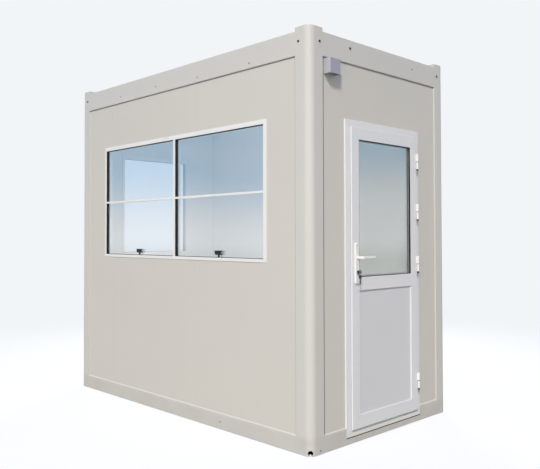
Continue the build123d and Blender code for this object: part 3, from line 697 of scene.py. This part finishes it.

# Blind aluminium rivets with their heads painted a dark grey, darker than the beam they hold.
beamRivets = {
    "radius": 6.5, "height": 1.8, "rim": 0.4, "dimple": 0.8,
    "longSidePlaces": [(852, 2480), (287, 2481), (-240, 2499), (-754, 2498), (547, 51)],
    "endPlaces": [(336, 2530), (-661, 23)],
}
rivetPaint = dict(framePaint, name="paintedRivetHead", colour="#85837E", toneMm=10, toneShift=0.1)
rivet = startPrimitive("cylinder", "rivet", vertices=16, radius=beamRivets["radius"] * mm,
                       depth=beamRivets["height"] * mm, location=(0, 0, beamRivets["height"] / 2 * mm))
startEditing(rivet)
pick(rivet, "edges", lambda middle, way: middle.z > beamRivets["height"] * 0.9 * mm)
bpy.ops.mesh.bevel(offset=beamRivets["height"] * 0.8 * mm, segments=2, affect="EDGES")
pick(rivet, "faces", lambda middle, normal: normal.z > 0.95)
bpy.ops.mesh.inset(thickness=beamRivets["rim"] * mm)
raiseFaces(-beamRivets["dimple"] * mm)
bpy.ops.object.mode_set(mode="OBJECT")
rivetPlaces = [facing((x, side * sideY, z), (0, side, 0))
               for x, z in beamRivets["longSidePlaces"] for side in (-1, 1)]
rivetPlaces += [facing((side * endX, y, z), (side, 0, 0))
                for y, z in beamRivets["endPlaces"] for side in (-1, 1)]
rivets = joinPieces("beam_rivets", copyTo(rivet, rivetPlaces))
finishPiece(rivets, surfaceMaterial(rivetPaint), "booth")
print("frame fixings:", len(boltPlaces), "bolts and", len(rivetPlaces), "rivets")

# Self-drilling roof screws: grey-coated heads over black washers.
roofScrews = {
    "across": 8, "height": 4.5, "washer": 16, "washerThickness": 2.5, "sides": 10,
    "rows": (-590, 0, 590),
}
screwCoat = {
    "name": "coatedScrewHead", "colour": "#8B8C8A", "toneShift": 0.1, "toneMm": 6,
    "roughness": 0.4, "roughShift": 0.1, "relief": [(2, 0.02)], "metallic": 0.5,
}


def clusters(values, gap):
    # the low and high end of each run of values with no space wider than the gap in it
    values = sorted(values)
    breaks = [i for i in range(1, len(values)) if values[i] - values[i - 1] > gap]
    return [(values[start], values[end - 1]) for start, end in zip([0] + breaks, breaks + [len(values)])]


def crestCentres(name):
    # the middle of each rib's crest, read from the top of the sheet
    corners = [corner.co for corner in nodes[name].data.vertices]
    top = max(corner.z for corner in corners)
    crests = clusters([corner.x for corner in corners if corner.z > top - 0.5 * mm], 100 * mm)
    return [(left + right) / 2 for left, right in crests], top


crests, crestTop = crestCentres("roof_sheet")
roofPlaces = [facing((x / mm, y, crestTop / mm), (0, 0, 1), (x * 1000) % 60)
              for x in crests for y in roofScrews["rows"]]
screws = joinPieces("roof_screws", copyTo(modelHexBolt(roofScrews), roofPlaces))
finishPiece(screws, surfaceMaterial(screwCoat), "booth")
print("roof screws:", len(roofPlaces), "on", len(crests), "ribs")


def modelStrip(name, low, high, roundedAt, radius):
    # a strip between two corners in mm, with one long edge rounded: the one through roundedAt
    size = [(end - start) * mm for start, end in zip(low, high)]
    strip = startPrimitive("cube", name, scale=size, size=1,
                           location=[(start + end) / 2 * mm for start, end in zip(low, high)])
    long = size.index(max(size))
    startEditing(strip)
    pick(strip, "edges", lambda middle, way: abs(way[long]) > 0.9 and all(
        abs(middle[axis] - roundedAt[axis] * mm) < 0.01 * mm for axis in range(3) if axis != long))
    bpy.ops.mesh.bevel(offset=radius * mm, segments=4, affect="EDGES")
    bpy.ops.object.mode_set(mode="OBJECT")
    return strip


# Polyurethane mastic, smoothed by hand: pale along the foot of the walls, where it sheds the
# rain off the ledge. Dark grey strips under the beams and beside the post are painted shade,
# standing in for the shadow in those joints.
paleMastic = {
    "name": "smoothedPaleMastic", "colour": "#D6D3CC", "toneShift": 0.03, "toneMm": 60,
    "roughness": 0.5, "roughShift": 0.08, "relief": [(14, 0.2)],
}
shadeStripMastic = dict(paleMastic, name="darkShadeStripMastic", colour="#565450")
beadsAndShadeStrips = {
    "footBead": 6, "beamGap": 2, "gapDepth": 3,
    "frontPostShadeStrip": 9.2, "endPostShadeStrip": 14,   # widths beside the corner post at the door
    "shadeStripRounding": 2,
    "doorGap": 5, "doorGapProud": 2, "doorGapDepth": 2.5, "doorGapRounding": 1.2,
}
longFace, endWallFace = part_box("front_wall")[0].y / mm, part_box("door_wall_left")[1].x / mm
baseTop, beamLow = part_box("base_beam_front")[1].z / mm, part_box("top_beam_front")[0].z / mm
postX, postY = outer[0].x / mm, outer[1].y / mm
frameLow, frameHigh = (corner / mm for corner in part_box("door_frame"))
bead, gap, depth = beadsAndShadeStrips["footBead"], beadsAndShadeStrips["beamGap"], beadsAndShadeStrips["gapDepth"]
footBeads, shadeStrips = [], []
for side in (-1, 1):
    near, far = sorted((side * -longFace, side * (-longFace + bead)))
    footBeads.append(modelStrip("bead", (-postX, near, baseTop), (postX, far, baseTop + bead),
                                (0, side * (-longFace + bead), baseTop + bead), bead * 0.8))
    # painted shade: a dark grey strip under each top beam, for the shadow in that joint
    near, far = sorted((side * -longFace, side * (-longFace + depth)))
    shadeStrips.append(modelStrip("joint", (-postX, near, beamLow - gap), (postX, far, beamLow),
                                 (0, side * (-longFace + depth), beamLow - gap), gap * 0.6))
    near, far = sorted((side * endWallFace, side * (endWallFace + depth)))
    shadeStrips.append(modelStrip("joint", (near, postY, beamLow - gap), (far, -postY, beamLow),
                                 (side * (endWallFace + depth), 0, beamLow - gap), gap * 0.6))
for side, start, end in ((-1, postY, -postY), (1, postY, frameLow.y), (1, frameHigh.y, -postY)):
    near, far = sorted((side * endWallFace, side * (endWallFace + bead)))
    footBeads.append(modelStrip("bead", (near, start, baseTop), (far, end, baseTop + bead),
                                (side * (endWallFace + bead), 0, baseTop + bead), bead * 0.8))
# painted shade: dark grey strips beside the corner post at the door, for the shadow in those joints
shadeStripTop, rounding = beamLow - gap, beadsAndShadeStrips["shadeStripRounding"]
width = beadsAndShadeStrips["frontPostShadeStrip"]
shadeStrips.append(modelStrip("joint", (postX - width, longFace - depth, baseTop),
                             (postX, longFace, shadeStripTop), (postX - width, longFace - depth, 0), rounding))
width = beadsAndShadeStrips["endPostShadeStrip"]
shadeStrips.append(modelStrip("joint", (endWallFace, postY, baseTop),
                             (endWallFace + depth, postY + width, shadeStripTop),
                             (endWallFace + depth, postY + width, 0), rounding))
footBead = joinPieces("wall_foot_beads", footBeads)
finishPiece(footBead, surfaceMaterial(paleMastic), "booth")
shadeStripMaterial = surfaceMaterial(shadeStripMastic)
wallShadeStrip = joinPieces("wall_shade_strips", shadeStrips)
finishPiece(wallShadeStrip, shadeStripMaterial, "booth")
# painted shade: a black rubber strip under the door frame, for the shadow the frame casts on the base
gap, proudX = beadsAndShadeStrips["doorGap"], endX + beadsAndShadeStrips["doorGapProud"]
doorShadeStrip = modelStrip("door_frame_shade_strip",
                      (proudX - beadsAndShadeStrips["doorGapDepth"], frameLow.y, frameLow.z - gap),
                      (proudX, frameHigh.y, frameLow.z), (proudX, 0, frameLow.z - gap),
                      beadsAndShadeStrips["doorGapRounding"])
finishPiece(doorShadeStrip, rubberMaterial, "booth")
print("wall joints sealed")


def modelRing(name, across, up, bead, proud):
    # a bead round a rectangle that is across by up, lying on +Z, its outer edge rounded down
    ring = startPrimitive("plane", name, size=1,
                          scale=((across + 2 * bead) * mm, (up + 2 * bead) * mm, 1))
    startEditing(ring)
    bpy.ops.mesh.select_all(action="SELECT")
    bpy.ops.mesh.inset(thickness=bead * mm)
    bpy.ops.mesh.delete(type="FACE")
    bpy.ops.mesh.select_all(action="SELECT")
    bpy.ops.mesh.extrude_region_move(TRANSFORM_OT_translate={"value": (0, 0, proud * mm)})
    edgeX, edgeY = (across / 2 + bead / 2) * mm, (up / 2 + bead / 2) * mm
    pick(ring, "edges", lambda middle, way: middle.z > proud * 0.9 * mm and abs(way.z) < 0.1
         and (abs(middle.x) > edgeX or abs(middle.y) > edgeY))
    bpy.ops.mesh.bevel(offset=proud * 0.8 * mm, segments=3, affect="EDGES")
    bpy.ops.object.mode_set(mode="OBJECT")
    return ring


# Acrylic sealant in the colour of the wall, tooled smooth round the flanges of the windows.
frameBeads = {"bead": 4, "proud": 3}
wallSealant = dict(panelSkin, name="tooledAcrylicSealant", roughness=0.6, relief=[(18, 0.2)])
windowBeads = []
for name, along, face, outwards in (
    ("front_window_frame", "x", (0, longFace), (0, -1, 0)),
    ("far_window_frame", "y", (-endWallFace, 0), (-1, 0, 0)),
):
    low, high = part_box(name)
    across, up = (getattr(high, along) - getattr(low, along)) / mm, (high.z - low.z) / mm
    ring = modelRing("bead", across, up, frameBeads["bead"], frameBeads["proud"])
    middle = (low + high) / 2 / mm
    windowBeads += copyTo(ring, [facing((*face, middle.z), outwards)])
windowBead = joinPieces("window_beads", windowBeads)
finishPiece(windowBead, surfaceMaterial(wallSealant), "booth")
print("windows sealed in")


def modelKnob(name, size):
    # a round head standing on +Z with a rounded rim and, where it has one, a round recess
    radius, height, rounded = size["radius"], size["height"], size["rounded"]
    knob = startPrimitive("cylinder", name, vertices=28, radius=radius * mm, depth=height * mm,
                          location=(0, 0, height / 2 * mm))
    startEditing(knob)
    pick(knob, "edges", lambda middle, way: middle.z > height * 0.95 * mm)
    bpy.ops.mesh.bevel(offset=rounded * mm, segments=3, affect="EDGES")
    if "recess" in size:
        pick(knob, "faces", lambda middle, normal: normal.z > 0.95)
        bpy.ops.mesh.inset(thickness=(radius - rounded - size["recess"]) * mm)
        raiseFaces(-size["recessDepth"] * mm)
    bpy.ops.object.mode_set(mode="OBJECT")
    return knob


def modelWasher(name, radius, hole, thickness):
    # a flat ring lying on z = 0, open in the middle
    washer = startPrimitive("cylinder", name, vertices=32, radius=radius * mm, depth=thickness * mm,
                            location=(0, 0, thickness / 2 * mm))
    startEditing(washer)
    pick(washer, "faces", lambda middle, normal: abs(normal.z) > 0.9)
    bpy.ops.mesh.inset(thickness=(radius - hole) * mm)
    bpy.ops.mesh.delete(type="FACE")
    bpy.ops.mesh.select_mode(type="EDGE")
    bpy.ops.mesh.select_non_manifold()
    bpy.ops.mesh.bridge_edge_loops()
    pick(washer, "edges", lambda middle, way: abs(way.z) < 0.1
         and Vector(middle[:2]).length > (radius + hole) / 2 * mm)
    bpy.ops.mesh.bevel(offset=thickness * 0.2 * mm, segments=2, affect="EDGES")
    bpy.ops.object.mode_set(mode="OBJECT")
    return washer


hingeTrim = {
    "bearingRadius": 9, "pinRadius": 5.2, "bearing": 3.6,
    "below": 3.8,             # from the leaf's knuckle down to the foot of the bearing
    "lowerCap": {"radius": 7, "height": 12, "rounded": 4},
    "upperCap": {"radius": 7.4, "height": 3, "rounded": 2},
}
hingeX, hingeY = (value / mm for value in frame["record"]["behaviour"]["joints"][0]["pos_m"][:2])
frameKnuckles = clusters([corner.co.z / mm for corner in nodes["hinge_frame_halves"].data.vertices], 100)
leafKnuckles = clusters([corner.co.z / mm for corner in nodes["hinge_leaf_halves"].data.vertices], 100)
bearing = modelWasher("bearing", hingeTrim["bearingRadius"], hingeTrim["pinRadius"],
                      hingeTrim["bearing"])
lowerCap = modelKnob("cap", hingeTrim["lowerCap"])
darkTrim = copyTo(bearing, [facing((hingeX, hingeY, low - hingeTrim["below"]), (0, 0, 1))
                            for low, high in leafKnuckles])
darkTrim += copyTo(lowerCap, [facing((hingeX, hingeY, low), (0, 0, -1)) for low, high in frameKnuckles])
hingeBearings = joinPieces("hinge_bearings_and_caps", darkTrim)
finishPiece(hingeBearings, nylonMaterial, "booth")
upperCap = modelKnob("cap", hingeTrim["upperCap"])
upperCaps = joinPieces("hinge_upper_caps", copyTo(upperCap, [
    facing((hingeX, hingeY, high), (0, 0, 1)) for low, high in leafKnuckles]))
finishPiece(upperCaps, handlePaintMaterial, "door")
print("hinges trimmed:", len(leafKnuckles))

# Bright zinc plate on small steel parts: pale bluish metal, finely brushed by wear.
brightZinc = {
    "name": "brightZincPlate", "colour": "#B9BDC2", "toneShift": 0.08, "toneMm": 10,
    "roughness": 0.32, "roughShift": 0.1, "relief": [(2, 0.02)], "metallic": 1,
}
brightZincMaterial = surfaceMaterial(brightZinc)
plateScrews = {
    "radius": 3.6, "height": 1, "rounded": 0.6, "recess": 1.6, "recessDepth": 0.8, "fromEnd": 14,
}
plateLow, plateHigh = (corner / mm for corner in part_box("handle_plates"))
plateY = (plateLow.y + plateHigh.y) / 2
screwHeights = (plateLow.z + plateScrews["fromEnd"], plateHigh.z - plateScrews["fromEnd"])
plateScrewPieces = copyTo(modelKnob("screw", plateScrews), [
    facing((face, plateY, height), (way, 0, 0))
    for height in screwHeights for face, way in ((plateHigh.x, 1), (plateLow.x, -1))])
plateScrewPiece = joinPieces("plate_screws", plateScrewPieces)
finishPiece(plateScrewPiece, brightZincMaterial, "door")


def modelRoundedPlate(name, across, up, thickness):
    # a plate with half-round ends, lying on +Z and long in Y
    plate = startPrimitive("cube", name, scale=(across * mm, up * mm, thickness * mm), size=1,
                           location=(0, 0, thickness / 2 * mm))
    startEditing(plate)
    pick(plate, "edges", lambda middle, way: abs(way.z) > 0.9)
    bpy.ops.mesh.bevel(offset=across * 0.49 * mm, segments=8, affect="EDGES")
    pick(plate, "edges", lambda middle, way: middle.z > thickness * 0.9 * mm and abs(way.z) < 0.1)
    bpy.ops.mesh.bevel(offset=thickness * 0.3 * mm, segments=2, affect="EDGES")
    bpy.ops.object.mode_set(mode="OBJECT")
    return plate


edgeScrews = {
    "radius": 3.2, "height": 0.8, "rounded": 0.5, "recess": 1.4, "recessDepth": 0.6, "fromEnd": 12,
}


def edgePlate(name, size, way, body, extras):
    # a lock or strike plate on the edge of the leaf or the jamb, facing along way in Y
    pieces = copyTo(modelRoundedPlate("plate", size["across"], size["up"], size["thickness"]),
                    [facing((size["x"], size["face"], size["z"]), (0, way, 0))])
    reach, screwFace = size["up"] / 2 - edgeScrews["fromEnd"], size["face"] + way * size["thickness"]
    pieces += copyTo(modelKnob("screw", edgeScrews), [
        facing((size["x"], screwFace, size["z"] + offset), (0, way, 0)) for offset in (-reach, reach)])
    plate = joinPieces(name, pieces + extras)
    finishPiece(plate, brightZincMaterial, body)


lockPlate = {
    "across": 22, "up": 240, "thickness": 2, "x": 1377, "z": 1146, "face": -353,
    "latch": (12, 5, 26), "latchZ": 1190, "latchSlope": 4,
    "bolt": (9, 1.2, 30), "boltZ": 1120, "boltSlope": 0.4,
}
strikePlate = {"across": 24, "up": 190, "thickness": 1.5, "x": 1377, "z": 1150, "face": -363}


def latchPiece(name):
    # a bolt that stands out of the lock plate, its outer edge sloped to ride over the strike
    (across, out, up), z = lockPlate[name], lockPlate[name + "Z"]
    lowX, highX = lockPlate["x"] - across / 2, lockPlate["x"] + across / 2
    face = lockPlate["face"] - lockPlate["thickness"]
    return modelStrip(name, (lowX, face - out, z - up / 2), (highX, face, z + up / 2),
                      (highX, face - out, 0), lockPlate[name + "Slope"])


edgePlate("lock_faceplate", lockPlate, -1, "door", [latchPiece("latch"), latchPiece("bolt")])
edgePlate("strike_plate", strikePlate, 1, "booth", [])
print("lock fitted")

# Two cut keys in black moulded heads on a split ring: one in the lock, the other hanging.
keys = {
    "bow": 12, "hole": 5, "thickness": 2.4, "bowX": 1446,
    "bladeWidth": 8, "bladeThickness": 1.6, "bladeLength": 34, "teeth": 4, "toothDepth": 1.6,
    "ring": 11, "wire": 0.9, "splitAngle": 12,
    "lockBelowTop": 8.5,      # from the top of the cylinder down to its keyway
    "inLock": 10, "fromHole": 2,
}
lockLow, lockHigh = (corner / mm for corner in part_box("lock_cylinder"))
lockY, lockZ = (lockLow.y + lockHigh.y) / 2, lockHigh.z - keys["lockBelowTop"]
ringZ = lockZ - keys["hole"] + keys["wire"] - keys["ring"]
hangingZ = ringZ - keys["ring"] + keys["wire"] - keys["hole"]


def modelBow(z):
    bow = modelWasher("bow", keys["bow"], keys["hole"], keys["thickness"])
    return copyTo(bow, [facing((keys["bowX"], lockY + keys["thickness"] / 2, z), (0, -1, 0))])[0]


def modelBlade(start, end, long):
    # a thin bar with teeth cut in its lower or outer edge, running along axis long
    low = [min(a, b) for a, b in zip(start, end)]
    high = [max(a, b) for a, b in zip(start, end)]
    blade = startPrimitive("cube", "blade", size=1, scale=[(b - a) * mm for a, b in zip(low, high)],
                           location=[(a + b) / 2 * mm for a, b in zip(low, high)])
    cutAxis = 2 - long
    startEditing(blade)
    pick(blade, "edges", lambda middle, way: abs(way[long]) > 0.9)
    bpy.ops.mesh.subdivide(number_cuts=2 * keys["teeth"])
    step = (high[long] - low[long]) / (2 * keys["teeth"] + 1)
    pick(blade, "edges", lambda middle, way: abs(way.y) > 0.9
         and middle[cutAxis] < (low[cutAxis] + 0.1) * mm
         and round((middle[long] / mm - low[long]) / step) % 2 == 1)
    push = [0, 0, 0]
    push[cutAxis] = keys["toothDepth"] * mm
    bpy.ops.transform.translate(value=push)
    bpy.ops.object.mode_set(mode="OBJECT")
    return blade


def modelSplitRing():
    # one turn of wire standing round the hole of each key, with the gap a split ring has
    ring = startPrimitive("circle", "ring", vertices=10, radius=keys["wire"] * mm, fill_type="NGON",
                          location=(keys["ring"] * mm, 0, 0), rotation=(math.radians(90), 0, 0))
    startEditing(ring)
    bpy.ops.mesh.select_all(action="SELECT")
    bpy.ops.mesh.spin(steps=34, angle=math.radians(360 - keys["splitAngle"]),
                      center=(0, 0, 0), axis=(0, 0, 1))
    bpy.ops.mesh.select_all(action="SELECT")
    bpy.ops.mesh.normals_make_consistent(inside=False)
    bpy.ops.object.mode_set(mode="OBJECT")
    ring.data.transform(facing((keys["bowX"], lockY, ringZ), (1, 0, 0)))
    return ring


half, thin = keys["bladeWidth"] / 2, keys["bladeThickness"] / 2
shoulder = keys["hole"] + keys["fromHole"]
keyBlades = joinPieces("key_blades", [
    modelBlade((lockHigh.x - keys["inLock"], lockY - thin, lockZ - half),
               (keys["bowX"] - shoulder, lockY + thin, lockZ + half), 0),
    modelBlade((keys["bowX"] - half, lockY - thin, hangingZ - shoulder),
               (keys["bowX"] + half, lockY + thin, hangingZ - keys["bow"] - keys["bladeLength"]), 2),
    modelSplitRing(),
])
finishPiece(keyBlades, boltMaterial, "door")
keyHeads = joinPieces("key_heads", [modelBow(lockZ), modelBow(hangingZ)])
finishPiece(keyHeads, nylonMaterial, "door")
print("keys hung")
